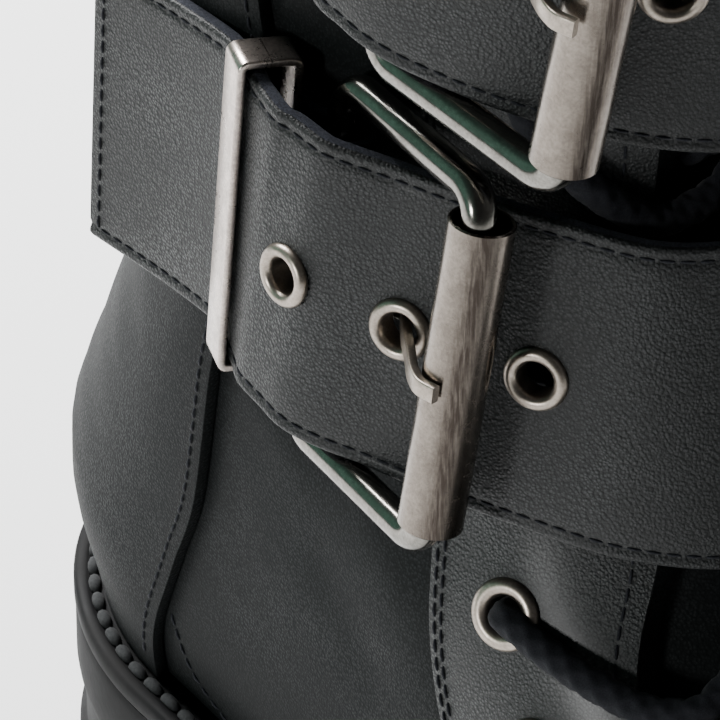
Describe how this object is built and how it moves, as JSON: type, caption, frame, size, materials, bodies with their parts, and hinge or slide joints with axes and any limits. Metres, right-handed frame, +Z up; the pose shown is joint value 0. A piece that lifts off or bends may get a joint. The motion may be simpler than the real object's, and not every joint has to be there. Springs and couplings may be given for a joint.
{
  "type": "military boot",
  "caption": "Right-foot black military boot with a laced throat, two wide buckled ankle straps with roller buckles, and a lugged sole",
  "frame": {"origin": "middle of the boot's box in plan, on the floor that the sole stands on", "axes": "+X from heel to toe, +Y towards the inner side of the foot, +Z up"},
  "size_m": [0.2796, 0.1006, 0.2464],
  "materials": {
    "sole_rubber": "matt black rubber with lugs",
    "insole_board": "dark cloth over a board",
    "upper_leather": "black smooth leather with fine grain, semi-matt",
    "strap_leather": "black strap leather with fine grain, raw dark blue cloth-like edges and dark stitching",
    "antique_nickel": "worn antique nickel, satin, darker in the hollows",
    "lace_cord": "round braided lace, black"
  },
  "bodies": {
    "root": {"outsole": "sole_rubber", "welt": "sole_rubber", "insole": "insole_board", "upper": "upper_leather", "tongue": "upper_leather", "heel_counter": "upper_leather", "eyestay_lateral": "upper_leather", "eyestay_medial": "upper_leather", "lace_eyelet_lateral_1": "antique_nickel", "lace_eyelet_lateral_2": "antique_nickel", "lace_eyelet_lateral_3": "antique_nickel", "lace_eyelet_lateral_4": "antique_nickel", "lace_eyelet_lateral_5": "antique_nickel", "lace_eyelet_lateral_6": "antique_nickel", "lace_eyelet_lateral_7": "antique_nickel", "lace_eyelet_lateral_8": "antique_nickel", "lace_eyelet_medial_1": "antique_nickel", "lace_eyelet_medial_2": "antique_nickel", "lace_eyelet_medial_3": "antique_nickel", "lace_eyelet_medial_4": "antique_nickel", "lace_eyelet_medial_5": "antique_nickel", "lace_eyelet_medial_6": "antique_nickel", "lace_eyelet_medial_7": "antique_nickel", "lace_eyelet_medial_8": "antique_nickel", "lace_bar": "lace_cord", "lace_crossing_1": "lace_cord", "lace_crossing_2": "lace_cord", "lace_crossing_3": "lace_cord", "lace_crossing_4": "lace_cord", "lace_crossing_5": "lace_cord", "lace_crossing_6": "lace_cord", "lace_crossing_7": "lace_cord", "strap_lower": "strap_leather", "strap_upper": "strap_leather", "strap_eyelet_lower_1": "antique_nickel", "strap_eyelet_lower_2": "antique_nickel", "strap_eyelet_lower_3": "antique_nickel", "strap_eyelet_upper_1": "antique_nickel", "strap_eyelet_upper_2": "antique_nickel", "strap_eyelet_upper_3": "antique_nickel", "buckle_frame_lower": "antique_nickel", "roller_lower": "antique_nickel", "prong_lower": "antique_nickel", "chape_lower": "strap_leather", "keeper_lower": "antique_nickel", "buckle_frame_upper": "antique_nickel", "roller_upper": "antique_nickel", "prong_upper": "antique_nickel", "chape_upper": "strap_leather", "keeper_upper": "antique_nickel"}
  },
  "joints": []
}
